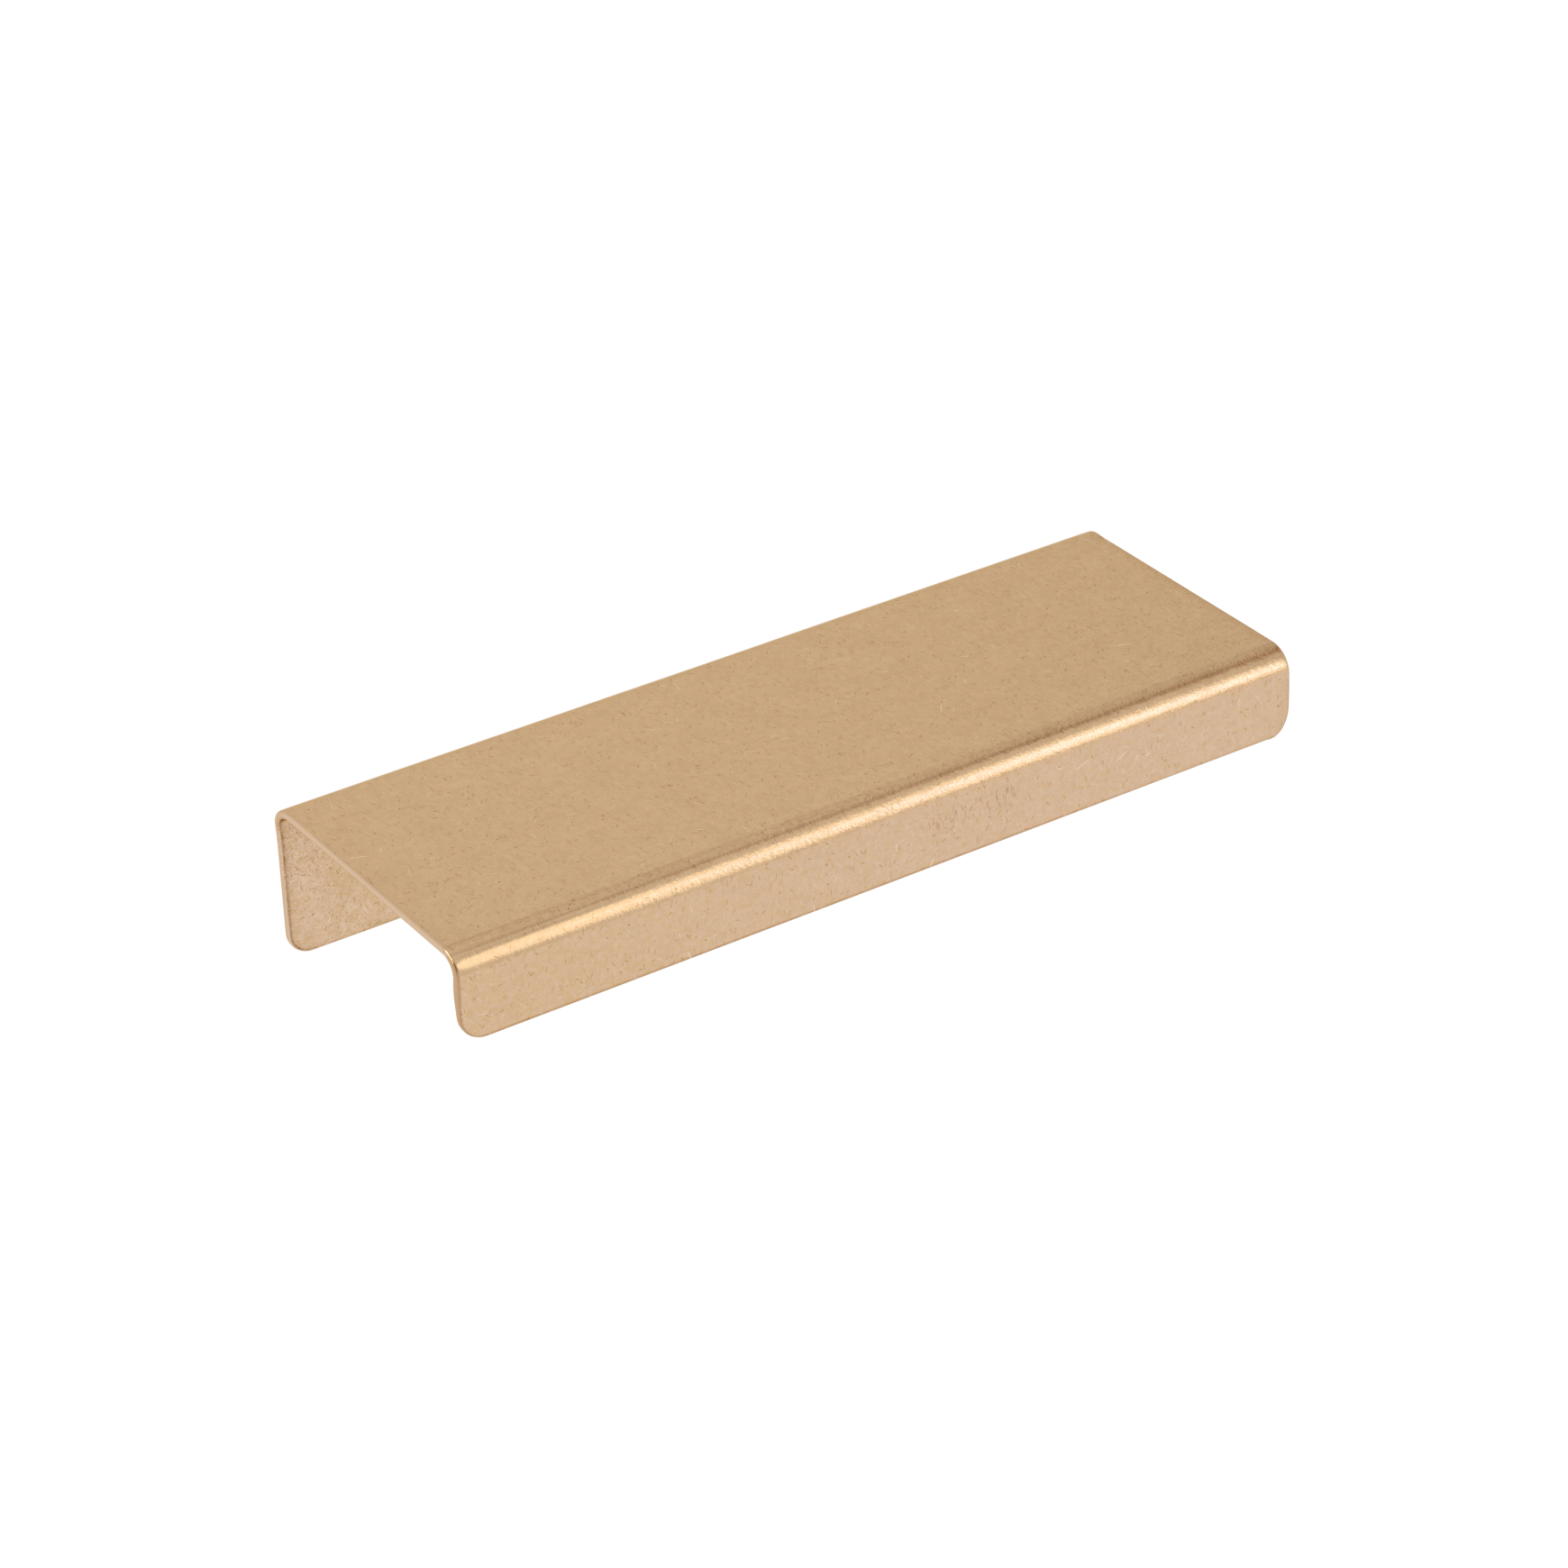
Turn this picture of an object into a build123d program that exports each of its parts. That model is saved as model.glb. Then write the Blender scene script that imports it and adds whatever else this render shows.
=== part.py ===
from build123d import *
import math
import os

# Edge pull for a door or drawer front, folded from one sheet of brass.
# The flange is screwed to the back of the front, the plate lies over its top edge,
# and the lip hangs down before it for the fingers.
# Origin: midway between the two screws, on the flange's inside face.
# +X runs along the pull, +Y points to its back, +Z up.

# Driving dimensions, in millimetres and degrees
length = 120.0
depth = 43.0
flange_height = 21.6
lip_height = 11.7
sheet = 1.2
bend_inside_radius = 2.2
flange_corner_radius = 3.1
lip_corner_radius = 3.4
edge_softening = 0.35
screw_spacing = 64.0
screw_hole_diameter = 4.2
countersink_diameter = 6.0
countersink_angle = 90.0

# Places that follow from them: the screws sit at mid-height of the flange's flat
bend_outside_radius = bend_inside_radius + sheet
flange_flat = flange_height - bend_outside_radius
flange_bottom = -flange_flat / 2
plate_top = flange_bottom + flange_height
lip_bottom = plate_top - lip_height
back = sheet
front = back - depth


def fold_line(inset):
    """Side view of the fold at a depth into the sheet, from the flange's free edge to the lip's."""
    return FilletPolyline(
        (back - inset, flange_bottom),
        (back - inset, plate_top - inset),
        (front + inset, plate_top - inset),
        (front + inset, lip_bottom),
        radius=bend_outside_radius - inset,
    )


def folded_sheet():
    """Flange, plate and lip at full length, with square corners and sharp edges."""
    outside = fold_line(0)
    inside = fold_line(sheet)
    flange_end = Line(outside @ 0, inside @ 0)
    lip_end = Line(outside @ 1, inside @ 1)
    section = make_face(outside + lip_end + inside + flange_end)
    return extrude(Plane.YZ * section, amount=length / 2, both=True)


def round_corners(body, free_edge, radius):
    """Rounds the two corners of the flange or the lip, at the height of its free edge."""
    corners = body.edges().filter_by(Axis.Y).filter_by_position(Axis.Z, free_edge, free_edge)
    return fillet(corners, radius)


def soften_rim(body):
    """Rounds the cut rim on both skins: all edges but the lines of the bends and the rim's own seams."""
    bend_lines = body.edges().filter_by(lambda edge: math.isclose(edge.length, length))
    seams = body.edges().filter_by(lambda edge: math.isclose(edge.length, sheet))
    return fillet(body.edges() - bend_lines - seams, edge_softening)


def screw_holes():
    """Two holes through the flange, countersunk from the back for flush screw heads."""
    hole = CounterSinkHole(
        radius=screw_hole_diameter / 2,
        counter_sink_radius=countersink_diameter / 2,
        depth=sheet,
        counter_sink_angle=countersink_angle,
    )
    flange_back = Plane(origin=(0, back, 0), x_dir=(1, 0, 0), z_dir=(0, 1, 0))
    return [flange_back * place * hole for place in GridLocations(screw_spacing, 0, 2, 1)]


pull = folded_sheet()
pull = round_corners(pull, flange_bottom, flange_corner_radius)
pull = round_corners(pull, lip_bottom, lip_corner_radius)
pull = soften_rim(pull)
pull -= screw_holes()

os.makedirs("parts", exist_ok=True)
export_step(pull, "parts/pull.step")
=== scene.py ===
import math
from types import SimpleNamespace

import bpy
import numpy as np
from mathutils import Matrix, Vector, noise


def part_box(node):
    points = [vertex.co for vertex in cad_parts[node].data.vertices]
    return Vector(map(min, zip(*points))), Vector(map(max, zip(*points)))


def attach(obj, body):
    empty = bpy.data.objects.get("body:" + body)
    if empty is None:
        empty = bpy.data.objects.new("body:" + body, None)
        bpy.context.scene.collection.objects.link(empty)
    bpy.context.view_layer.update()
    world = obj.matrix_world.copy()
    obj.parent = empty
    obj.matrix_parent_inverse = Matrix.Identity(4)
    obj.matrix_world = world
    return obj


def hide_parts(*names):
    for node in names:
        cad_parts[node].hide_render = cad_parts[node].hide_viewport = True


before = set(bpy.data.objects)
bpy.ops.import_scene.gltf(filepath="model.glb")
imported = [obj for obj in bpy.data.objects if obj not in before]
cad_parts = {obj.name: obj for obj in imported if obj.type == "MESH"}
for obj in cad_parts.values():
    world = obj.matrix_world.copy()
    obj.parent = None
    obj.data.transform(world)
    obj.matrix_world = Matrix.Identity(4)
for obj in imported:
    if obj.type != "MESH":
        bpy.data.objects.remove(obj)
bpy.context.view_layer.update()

MM = 0.001

# The sheet's sizes, in metres: the outside ones are read from the pull in model.glb
BOX_LOW, BOX_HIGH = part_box("pull")
LENGTH = BOX_HIGH.x - BOX_LOW.x
DEPTH = BOX_HIGH.y - BOX_LOW.y
FLANGE_HEIGHT = BOX_HIGH.z - BOX_LOW.z
LIP_HEIGHT = 11.7 * MM
SHEET = 1.2 * MM
BEND_INSIDE = 2.2 * MM
BEND_OUTSIDE = BEND_INSIDE + SHEET
FLANGE_CORNER = 3.1 * MM
LIP_CORNER = 3.4 * MM
RIM = 0.35 * MM
SCREW_SPACING = 64.0 * MM
SCREW_HOLE_RADIUS = 2.1 * MM
COUNTERSINK_RADIUS = 3.0 * MM
HOLE_BREAK = 0.1 * MM
HOLE_BREAK_MIDDLE = 0.3 * HOLE_BREAK

# Stretches of the unfolded section, from the flange's free edge to the lip's
FLANGE_FLAT = FLANGE_HEIGHT - BEND_OUTSIDE
BEND_RUN = BEND_OUTSIDE * math.pi / 2
PLATE_FLAT = DEPTH - 2 * BEND_OUTSIDE
LIP_FLAT = LIP_HEIGHT - BEND_OUTSIDE
BACK_BEND_START = FLANGE_FLAT
PLATE_START = BACK_BEND_START + BEND_RUN
FRONT_BEND_START = PLATE_START + PLATE_FLAT
LIP_START = FRONT_BEND_START + BEND_RUN
SECTION = LIP_START + LIP_FLAT

# Mesh fineness
CELL = 0.9 * MM
BEND_STEPS = 24
CORNER_STEPS = 9
RIM_STEPS = 6
HOLE_PATCH = 10.0 * MM
HOLE_RINGS = 5
PATCH_TOLERANCE = CELL / 4
SUPPORT = 0.15 * MM
END_COLUMNS = (1.5 * MM, 1.0 * MM, 0.6 * MM, 0.3 * MM, 0.12 * MM)

# Signs of the making: shoulders along the rim, an uneven sheet, ends spread near the bends, a full corner
SHOULDER_DEPTH = 0.06 * MM
SHOULDER_WIDTH = 0.5 * MM
BEND_SHOULDER = 0.4
WAVINESS = 0.02 * MM
WAVE_LENGTH = 14.0 * MM
BACK_SPREAD = 0.22 * MM
SPREAD_REACH = 2.6 * MM
OUTER_FLARE = 0.10 * MM
OUTER_FLARE_PLACE = 4.0 * MM
INNER_FLARE = 0.25 * MM
INNER_FLARE_PLACE = 1.6 * MM
CORNER_FULLNESS = 0.30 * MM
CORNER_SWELL_PEAK = 0.325

# Camera, from the photograph's perspective: metres and degrees
CAMERA_TARGET = Vector((-0.0015, -0.0202, 0.0046))
CAMERA_AZIMUTH = -33.09
CAMERA_ELEVATION = 30.53
CAMERA_ROLL = -1.63
CAMERA_DISTANCE = 0.579
CAMERA_LENS = 109.0
SENSOR_WIDTH = 36.0

# Floor that glows evenly near the pull: metres
FLOOR_HEIGHT = -0.30
FLOOR_SIZE = 20.0
FLOOR_NEAR = (1.01, 1.01, 1.01, 1)
FLOOR_FAR = (0.92, 0.88, 0.80, 1)
FLOOR_NEAR_REACH = 1.4
FLOOR_FAR_REACH = 4.0
BLACK = (0, 0, 0, 1)

# Room, and parts of it by azimuth and elevation, inner and outer half angle in degrees, and colour
ROOM_COLOR = (0.899, 0.881, 0.805, 1)
ROOM_PARTS = (
    (130.9, 30.4, 3.4, 8.4, (0.553, 0.511, 0.508, 1)),
    (103.6, 53.0, 6.9, 25.7, (0.492, 0.350, 0.262, 1)),
    (183.9, 67.2, 34.9, 41.2, (0.835, 0.793, 0.713, 1)),
    (-38.0, 30.0, 8.0, 28.0, (0.350, 0.290, 0.240, 1)),
)

# Softboxes: degrees as seen from the pull, metres, and light given off
KEY_LIGHT = {"azimuth": 32.6, "elevation": 24.1, "width": 0.586, "height": 0.966, "roll": 24.5}
KEY_RADIANCE = (0.715, 0.698, 0.601)
CORE_LIGHT = {"azimuth": 34.9, "elevation": 21.1, "width": 0.091, "height": 0.489, "roll": 8.9}
CORE_RADIANCE = (0.300, 1.230, 2.740)
SIDE_LIGHT = {"azimuth": -98.0, "elevation": 33.0, "width": 0.9, "height": 0.4, "roll": 0.0}
SIDE_RADIANCE = (3.5, 3.1, 2.7)
LIGHT_DISTANCE = 1.2

# Linear colours of the brass, of marks that cover it or tint it, and of painted shade, painted highlights
# and painted glints laid on it
BRASS_DEEP = (0.636, 0.426, 0.230, 1)
BRASS_PALE = (0.672, 0.484, 0.350, 1)
INSIDE_DEEP = (0.605, 0.398, 0.212, 1)
INSIDE_PALE = (0.700, 0.515, 0.378, 1)
BRASS_GRAZING = (0.90, 0.78, 0.62, 1)
RIM_COLOR = (0.692, 0.514, 0.378, 1)
LIP_RIM_COLOR = (0.595, 0.400, 0.232, 1)
# The fleck and pit tints darken real marks and also lay painted shade; the corner and low edge tints lay
# painted shade alone; the pale streak tint lays painted highlights; the scratch and curl colours also lay
# painted glints
SCRATCH_AND_GLINT_COLOR = (0.86, 0.70, 0.52, 1)
PALE_MARK_AND_GLINT_COLOR = (0.80, 0.66, 0.54, 1)
FLECK_AND_SHADE_TINT = (0.74, 0.67, 0.58, 1)
UPRIGHT_FLECK_TINT = (0.82, 0.74, 0.58, 1)
PIT_AND_SHADE_TINT = (0.58, 0.45, 0.32, 1)
CORNER_SHADE_TINT = (0.84, 0.78, 0.68, 1)
LOW_EDGE_SHADE_TINT = (0.78, 0.64, 0.46, 1)
PAINTED_HIGHLIGHT_TINT = (1.12, 1.09, 1.07, 1)
SHADE_TINT = (1.0, 1.2, 1.45)

# Grains of the brass: noises with scales per mm, stretched along the sheet and cut to levels where given
ROLLED = (1.0, 0.6, 1.0)
GRAINS = {
    "fine": {"scale": 4.2, "detail": 2.0, "roughness": 0.7, "stretch": ROLLED},
    "medium": {"scale": 1.2, "roughness": 0.6, "distortion": 0.4, "stretch": ROLLED},
    "blotch": {"scale": 0.22},
    "speckle": {"scale": 3.6, "detail": 2.0, "roughness": 0.7},
    "dimples": {"scale": 1.8, "detail": 2.0, "roughness": 0.6},
    "creases": {"scale": 1.05, "detail": 4.0, "roughness": 0.62, "distortion": 1.0},
    "patches": {
        "scale": 1.3, "detail": 4.0, "roughness": 0.75, "distortion": 0.8,
        "levels": (0.34, 0.66),
    },
    "crumple": {
        "scale": 1.3, "detail": 4.0, "roughness": 0.62, "distortion": 1.5,
        "levels": (0.45, 0.55),
    },
    "flakes_and_glints": {
        "scale": 0.8, "detail": 4.0, "roughness": 0.6, "distortion": 1.0,
        "levels": (0.54, 0.565),
    },
    "specks": {
        "scale": 3.0, "detail": 2.0, "roughness": 0.6, "distortion": 0.8,
        "stretch": ROLLED, "levels": (0.60, 0.74),
    },
    "cluster": {"scale": 0.45, "detail": 2.0, "roughness": 0.5, "levels": (0.38, 0.62, 0.15, 1.6)},
    "worn": {"scale": 0.11, "detail": 1.0, "roughness": 0.5, "levels": (0.45, 0.58)},
    "broken": {
        "scale": 1.0, "roughness": 0.6,
        "stretch": (0.09, 4.5, 1.0), "levels": (0.40, 0.60, 0.35, 1.0),
    },
    # Grain of the painted shade in the dark band that the front bend reflects above its highlight
    "dark_band_shade": {
        "scale": 1.0, "roughness": 0.65,
        "stretch": (1.1, 3.2, 1.0), "levels": (0.47, 0.62),
    },
    "tears": {
        "scale": 1.0, "roughness": 0.6, "distortion": 0.6,
        "stretch": (2.4, 0.9, 1.0), "levels": (0.54, 0.61),
    },
}

# Single marks, one in a share of the cells of a random pattern: mm
SCRATCHES = {
    "hair": {"cell": 6.0, "length": 2.8, "width": 0.08, "share": 0.24, "seed": 3.1},
    "short": {"cell": 2.6, "length": 1.3, "width": 0.07, "share": 0.16, "seed": 11.7},
    "curls": {"cell": 1.7, "length": 1.2, "width": 0.13, "share": 0.35, "seed": 57.1},
    "flecks": {"cell": 0.85, "length": 0.65, "width": 0.08, "share": 0.48, "seed": 23.3},
}
DOTS = {
    "pits": {"cell": 3.4, "radius": 0.16, "share": 0.14, "seed": 0.0},
    "pocks": {"cell": 1.1, "radius": 0.13, "share": 0.45, "seed": 7.3},
    # Pale dots, partly real and partly painted glints in the front bend's highlight
    "glints": {"cell": 1.3, "radius": 0.10, "share": 0.25, "seed": 41.9},
}
SEED_SKEW = 1.7
SCRATCH_CURL = 1.2
MARK_CORE = 0.4

# Faces of the sheet: where each begins and is full, in mm from a fold, an end or the rim, or in depth
FACE_BLEND = 1.6
INSIDE_DEPTH = (0.55 * SHEET / MM, 0.9 * SHEET / MM)
LEFT_END = (4.0, 1.5)
RIGHT_END = (3.0, 1.2)
FACE_EDGE = (0.08, 0.22)
FOLD_SPAN = (-0.6, BEND_RUN / MM + 0.4, 0.4)
LIP_SIDE = (0.8, 2.2)
HOLE_MARGIN = 0.05

# Marks all over the sheet: levels of their grains, and where they rise or fade in mm
CREASE_LEVELS = (0.484, 0.516, 0.016)
CREASE_BREAKS = (0.38, 0.52)
CREASE_RISE = (4.0, 13.0, 0.25, 1.0)
FLAKE_FALL = (9.0, 3.0)
FLAKE_START = (3.0, 8.0)
CURL_RISE = (0.0, 0.8)
HIGHLIGHT_SPAN = (2.2, BEND_RUN / MM - 0.6, 0.4)
HIGHLIGHT_CLEAN = (-10.0, 30.0, 0.1, 0.7)
SPECK_STRENGTH = 0.60
FLECK_STRENGTH = (0.58, 0.8)

# Painted reflections along the front bend: the dark streaks are painted shade, the pale ones painted
# highlight. Columns: place, half width, begin and full along the pull, in mm, strength, tint
BEND_REFLECTIONS = (
    (0.42, 0.20, 10.0, -30.0, 0.30, FLECK_AND_SHADE_TINT),
    (1.12, 0.22, -30.0, -58.0, 1.00, PAINTED_HIGHLIGHT_TINT),
    (1.75, 0.15, 60.0, -60.0, 0.30, FLECK_AND_SHADE_TINT),
    (2.37, 0.10, -28.0, -50.0, 0.55, FLECK_AND_SHADE_TINT),
    (2.50, 0.40, 44.0, 58.0, 0.28, FLECK_AND_SHADE_TINT),
    (4.52, 0.20, -25.0, 30.0, 0.90, PAINTED_HIGHLIGHT_TINT),
)

# Other marks of the fold, where they lie past it and along the pull, in mm: painted shade in the dark band
# above the highlight, painted shade that dims the highlight, and real tears under the bend
DARK_BAND_SHADE_SPAN = (0.0, 1.5, 0.6)
DARK_BAND_SHADE_FADE = (15.0, 55.0, 1.0, 0.35)
# Painted shade that dims the middle of the front bend's highlight
DIMMED_HIGHLIGHT_SPAN = (3.0, 3.8, 0.3)
DIMMED_HIGHLIGHT_STRETCH = (-36.0, 14.0, 12.0)
TEAR_SPAN = (1.0, 3.4, 0.8)
TEAR_STRETCH = (4.0, 18.0, 3.0)

# Marks of the rim, where they lie from the edge, from an end or past a fold, in mm: most are painted shade,
# dark reflections in the rim's roundings and shade in the inside corner of the back bend; the cut edge's
# colour is its own
INSIDE_LINE = (0.20, 0.42, 0.06)
INSIDE_LINE_SHARE = (0.85, 1.0)
INSIDE_LINE_BREAKS = (0.42, 0.54, 0.25, 1.15)
SPECKLED_LINE = (0.9, 0.3)
SPECKLED_LINE_BREAKS = (0.36, 0.58, 0.3, 1.0)
LIP_LINE = (0.03, 0.29, 0.08)
LIP_LINE_FADE = (10.0, 50.0, 0.85, 0.42)
LOW_EDGE = (0.6, 0.4)
CUT_EDGE = (0.25, 0.05)
CUT_SHARE = 0.8
CORNER_RISE = (-8.0, 0.0)
CORNER_REACH = (7.0, 0.5)
CORNER_END = (3.0, 0.3, 0.0, 0.4)
CORNER_BREAKS = (1.0, 0.6)
BEND_SOFT = 1.2
UNDER_DEPTH = (0.76, 0.92)
UNDER_EDGE = (0.36, 0.30)
UNDER_SHARE = (0.3, 0.40)
RIGHT_EDGE = (2.2, 0.3)
RIGHT_EDGE_SHARE = (1.0, 0.6)
RIGHT_LINE = (0.05, 0.38, 0.08)
BACK_EDGE = (0.5, -2.0)

# Tone of the brass: weights of the grains, and slants along the pull and the section in mm
TONE_GRAINS = {"patches": 0.7, "speckle": 1.1}
TONE_LIVELINESS = (0.2, 1.0)
TONE_MIDDLE = 0.5
LIP_SLANTS = ((-50.0, 10.0, -0.08, 0.13), (10.0, 60.0, 0.0, 0.04))
INSIDE_GRAINS = {"crumple": 0.36, "speckle": 2.0, "blotch": 0.7}
INSIDE_HEIGHT = (5.0, 12.0, 0.49, 0.45)
INSIDE_SLANT = (2.0, 14.0, 0.08, -0.22)
SHADE_GRAINS = {"fine": 0.24, "medium": 0.26, "blotch": 0.14}
SHADE_CALM = (1.0, 0.5)
# Painted shade on the plate: darker towards the right and towards the front
PLATE_SLANT = (-40.0, 60.0, 0.004, -0.036)
PLATE_FALL = (24.0, 58.0, 0.003, -0.003)

# Marks and painted shade in the order in which they are laid on the brass: mask, strength, colour, and how
# it is mixed in
MARKS = (
    # The next two rows are painted shade: grains in the dark band above the front bend's highlight, and a
    # dimming of that highlight
    ("dark_band_shade", 0.42, FLECK_AND_SHADE_TINT, "MULTIPLY"),
    ("dimmed_highlight", 0.22, FLECK_AND_SHADE_TINT, "MULTIPLY"),
    ("tears", 0.5, PIT_AND_SHADE_TINT, "MULTIPLY"),
    ("pits", 0.9, PIT_AND_SHADE_TINT, "MULTIPLY"),
    ("pocks", 0.75, PIT_AND_SHADE_TINT, "MULTIPLY"),
    ("creases", 0.80, PIT_AND_SHADE_TINT, "MULTIPLY"),
    # Pale flakes on the inside, partly real and partly painted glints
    ("flakes_and_glints", 0.24, PALE_MARK_AND_GLINT_COLOR, "MIX"),
    # The next nine rows are painted shade: shade in the inside corner of the back bend, at the ends and
    # over the back bend, and dark reflections in the rim's roundings
    ("corner", 0.6, CORNER_SHADE_TINT, "MULTIPLY"),
    ("under_rim_shade", 1.0, PIT_AND_SHADE_TINT, "MULTIPLY"),
    ("inside_rim_shade", 0.55, PIT_AND_SHADE_TINT, "MULTIPLY"),
    ("speckled_rim_shade", 0.5, PIT_AND_SHADE_TINT, "MULTIPLY"),
    ("lip_rim_shade", 0.5, PIT_AND_SHADE_TINT, "MULTIPLY"),
    ("low_edge_shade", 0.75, LOW_EDGE_SHADE_TINT, "MULTIPLY"),
    ("right_edge_shade", 0.40, CORNER_SHADE_TINT, "MULTIPLY"),
    ("back_bend_shade", 0.42, CORNER_SHADE_TINT, "MULTIPLY"),
    ("right_rim_shade", 0.50, LOW_EDGE_SHADE_TINT, "MULTIPLY"),
    ("lines", 0.85, SCRATCH_AND_GLINT_COLOR, "MIX"),
    ("curls", 0.26, PALE_MARK_AND_GLINT_COLOR, "MIX"),
    # Pale dots, partly real and partly painted glints in the front bend's highlight
    ("glints", 0.5, SCRATCH_AND_GLINT_COLOR, "MIX"),
)

# Gloss and relief of the brass, with the relief's height in metres
BRASS_ROUGHNESS = 0.142
ROUGHNESS_GRAIN = 0.10
ROUGHNESS_SCRATCH = 0.06
ROUGHNESS_HOLE = 0.25
GRAIN_RELIEF = 0.020 * MM
DIMPLE_SHARE = 1.6
MEDIUM_SHARE = 0.8
SCRATCH_SHARE = -0.25
RELIEF_RISE = (8.0, 40.0, 0.35, 1.0)


def fold(x, s, depth):
    """Point of the folded sheet: x along the pull, s along the unfolded section, depth into the sheet."""
    radius = BEND_OUTSIDE - depth
    bend_top = BOX_HIGH.z - BEND_OUTSIDE
    if s < BACK_BEND_START:
        return x, BOX_HIGH.y - depth, BOX_LOW.z + s
    if s < PLATE_START:
        turn = (s - BACK_BEND_START) / BEND_OUTSIDE
        y = BOX_HIGH.y - BEND_OUTSIDE + radius * math.cos(turn)
        return x, y, bend_top + radius * math.sin(turn)
    if s < FRONT_BEND_START:
        return x, BOX_HIGH.y - BEND_OUTSIDE - (s - PLATE_START), BOX_HIGH.z - depth
    if s < LIP_START:
        turn = (s - FRONT_BEND_START) / BEND_OUTSIDE
        y = BOX_LOW.y + BEND_OUTSIDE - radius * math.sin(turn)
        return x, y, bend_top + radius * math.cos(turn)
    return x, BOX_LOW.y + depth, bend_top - (s - LIP_START)


def spread(stops, cell):
    """Values from the first stop to the last through every stop, about a cell apart."""
    values = [stops[0]]
    for a, b in zip(stops, stops[1:]):
        count = max(1, round((b - a) / cell))
        values += [a + (b - a) * i / count for i in range(1, count + 1)]
    return values


def sheet_rows():
    """(s, half length, rim direction) of each row of the skins, inside the rim's rounding."""
    full = LENGTH / 2 - RIM
    rows = []
    for i in range(CORNER_STEPS):
        turn = math.pi / 2 * i / CORNER_STEPS
        reach = FLANGE_CORNER - RIM
        half = LENGTH / 2 - FLANGE_CORNER + reach * math.sin(turn)
        rows.append((FLANGE_CORNER - reach * math.cos(turn), half, (math.sin(turn), -math.cos(turn))))
    patch_low = FLANGE_FLAT / 2 - HOLE_PATCH / 2
    flange_end = BACK_BEND_START - SUPPORT
    plate_end = FRONT_BEND_START - SUPPORT
    bend_cell = BEND_RUN / BEND_STEPS
    flange = [FLANGE_CORNER, patch_low, patch_low + HOLE_PATCH, flange_end, BACK_BEND_START]
    straight = spread(flange, CELL)
    straight += spread([BACK_BEND_START, PLATE_START], bend_cell)[1:]
    straight += spread([PLATE_START, PLATE_START + SUPPORT, plate_end, FRONT_BEND_START], CELL)[1:]
    straight += spread([FRONT_BEND_START, LIP_START], bend_cell)[1:]
    straight += spread([LIP_START, LIP_START + SUPPORT, SECTION - LIP_CORNER], CELL)[1:]
    rows += [(s, full, (1.0, 0.0)) for s in straight]
    for i in range(1, CORNER_STEPS + 1):
        turn = math.pi / 2 * i / CORNER_STEPS
        reach = LIP_CORNER - RIM
        half = LENGTH / 2 - LIP_CORNER + reach * math.cos(turn)
        s = SECTION - LIP_CORNER + reach * math.sin(turn)
        rows.append((s, half, (math.cos(turn), math.sin(turn))))
    return rows


def sheet_columns():
    """Places across a full row as shares of its half length, with stops at the patches round the holes."""
    full = LENGTH / 2 - RIM
    inner = SCREW_SPACING / 2 - HOLE_PATCH / 2
    half = spread([inner, inner + HOLE_PATCH] + [full - d for d in END_COLUMNS] + [full], CELL)
    middle = spread([-inner, inner], CELL)
    mirrored = [-x for x in reversed(half)]
    return [x / full for x in mirrored + middle[1:-1] + half]


class SheetMesh:
    """Collects the points of the unfolded sheet and its faces."""

    def __init__(self):
        self.flat = []
        self.faces = []

    def point(self, x, s, depth):
        """Adds a point and returns its number."""
        self.flat.append((x, s, depth))
        return len(self.flat) - 1

    def ring_faces(self, a, b):
        """Quads between two closed rings of points of one length."""
        for i in range(len(a)):
            j = (i + 1) % len(a)
            self.faces.append((a[i], a[j], b[j], b[i]))


def in_hole_patch(x, s):
    """Whether a place on the sheet lies in the square round a hole."""
    reach = HOLE_PATCH / 2 - PATCH_TOLERANCE
    return abs(abs(x) - SCREW_SPACING / 2) < reach and abs(s - FLANGE_FLAT / 2) < reach


def add_skin(mesh, rows, columns, depth, facing):
    """One skin as a grid, left open at the patches. Returns the grid's point numbers."""
    grid = [[mesh.point(half * share, s, depth) for share in columns] for s, half, _ in rows]
    for r in range(len(rows) - 1):
        for c in range(len(columns) - 1):
            corners = [grid[r][c], grid[r][c + 1], grid[r + 1][c + 1], grid[r + 1][c]]
            middle = np.mean([mesh.flat[i] for i in corners], axis=0)
            if not in_hole_patch(middle[0], middle[1]):
                mesh.faces.append(tuple(corners[::facing]))
    return grid


def outline(grid):
    """Point numbers round a skin's edge, counter-clockwise from the flange's left corner."""
    right = [row[-1] for row in grid[1:-1]]
    left = [row[0] for row in grid[1:-1]]
    return grid[0] + right + grid[-1][::-1] + left[::-1]


def outline_directions(rows, columns):
    """Outward direction on the sheet at each point of the outline."""
    right = [direction for _, _, direction in rows[1:-1]]
    left = [(-x, s) for x, s in reversed(right)]
    across = len(columns)
    return [(0.0, -1.0)] * across + right + [(0.0, 1.0)] * across + left


def add_rim(mesh, rows, columns, outer, inner):
    """The rounded cut edge, from the outer skin's outline over to the inner skin's."""
    ways = outline_directions(rows, columns)
    last = outline(outer)
    base = [mesh.flat[i] for i in last]
    quarter = [math.pi / 2 * i / RIM_STEPS for i in range(1, RIM_STEPS + 1)]
    rounding = [(RIM * math.sin(a), RIM * (1 - math.cos(a))) for a in quarter]
    profile = rounding + [(RIM, SHEET / 2)]
    profile += [(out, SHEET - depth) for out, depth in reversed(rounding)]
    for out, depth in profile:
        ring = [mesh.point(x + out * u, s + out * v, depth) for (x, s, _), (u, v) in zip(base, ways)]
        mesh.ring_faces(last, ring)
        last = ring
    mesh.ring_faces(last, outline(inner))


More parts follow.
